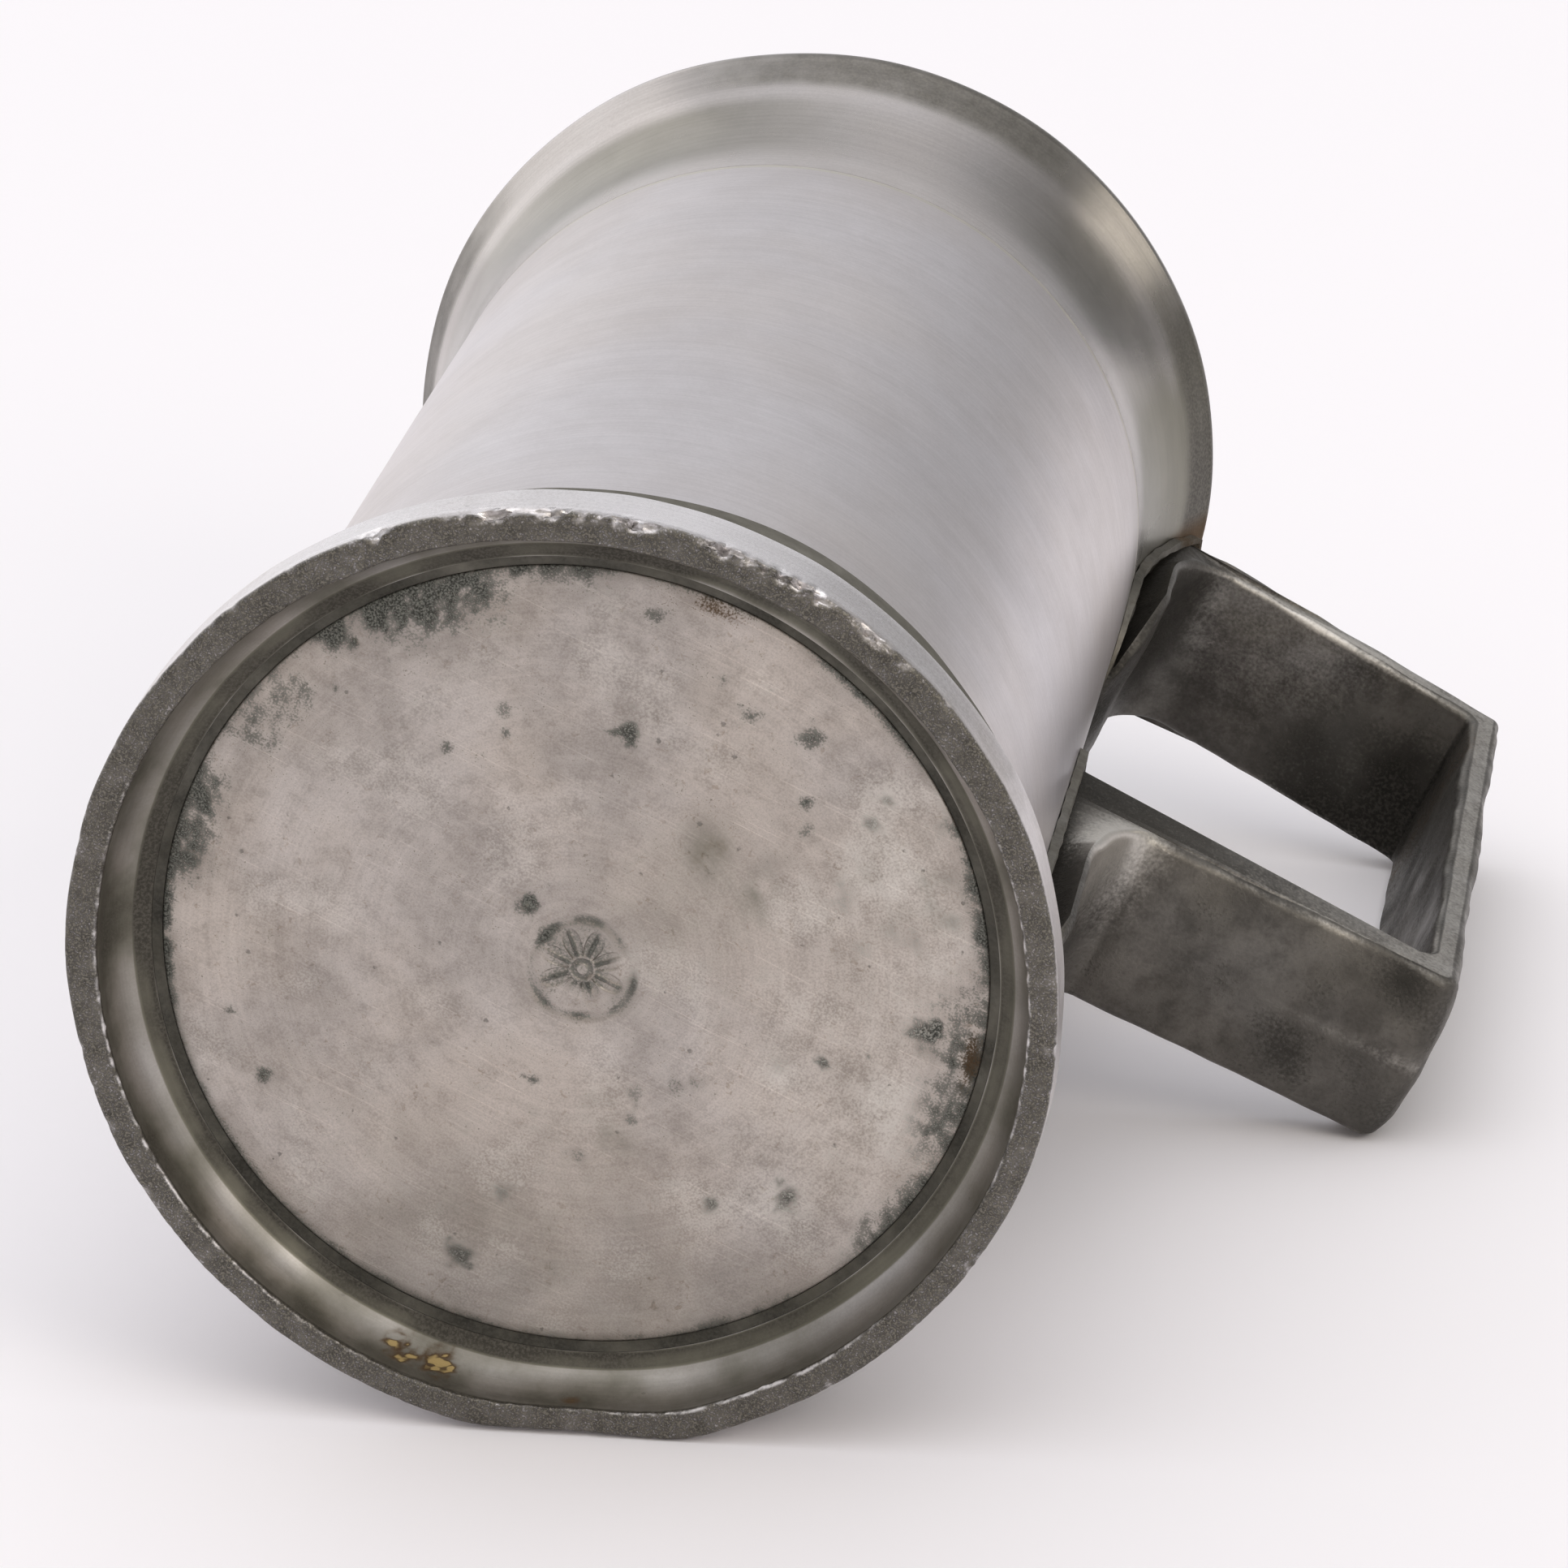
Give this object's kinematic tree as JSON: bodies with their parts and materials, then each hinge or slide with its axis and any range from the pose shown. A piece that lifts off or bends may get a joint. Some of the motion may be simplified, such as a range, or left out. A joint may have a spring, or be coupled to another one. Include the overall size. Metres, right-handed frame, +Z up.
{
  "type": "tankard",
  "caption": "Straight-sided pewter mug with a flared coved mouth, a flared foot with a sunk bottom plate, and a square strap handle.",
  "frame": {"origin": "on the standing plane, under the middle of the mug's outline; the barrel's axis is parallel to +Z at x = -0.0172 m", "axes": "+Z up along the barrel towards the mouth, +X towards the handle, +Y across the handle's width"},
  "size_m": [0.1204, 0.086, 0.1496],
  "materials": {
    "satin_pewter": "satin",
    "turned_pewter": "satin",
    "foot_pewter": "satin",
    "aged_pewter": "satin",
    "tin_solder": "satin"
  },
  "bodies": {
    "root": {"barrel": "satin_pewter", "mouth_collar": "aged_pewter", "foot_ring": "foot_pewter", "bottom_plate": "turned_pewter", "handle": "aged_pewter", "bottom_plate_solder": "tin_solder", "foot_ring_solder": "tin_solder", "mouth_collar_solder": "tin_solder", "upper_handle_solder": "tin_solder", "lower_handle_solder": "tin_solder"}
  },
  "joints": []
}
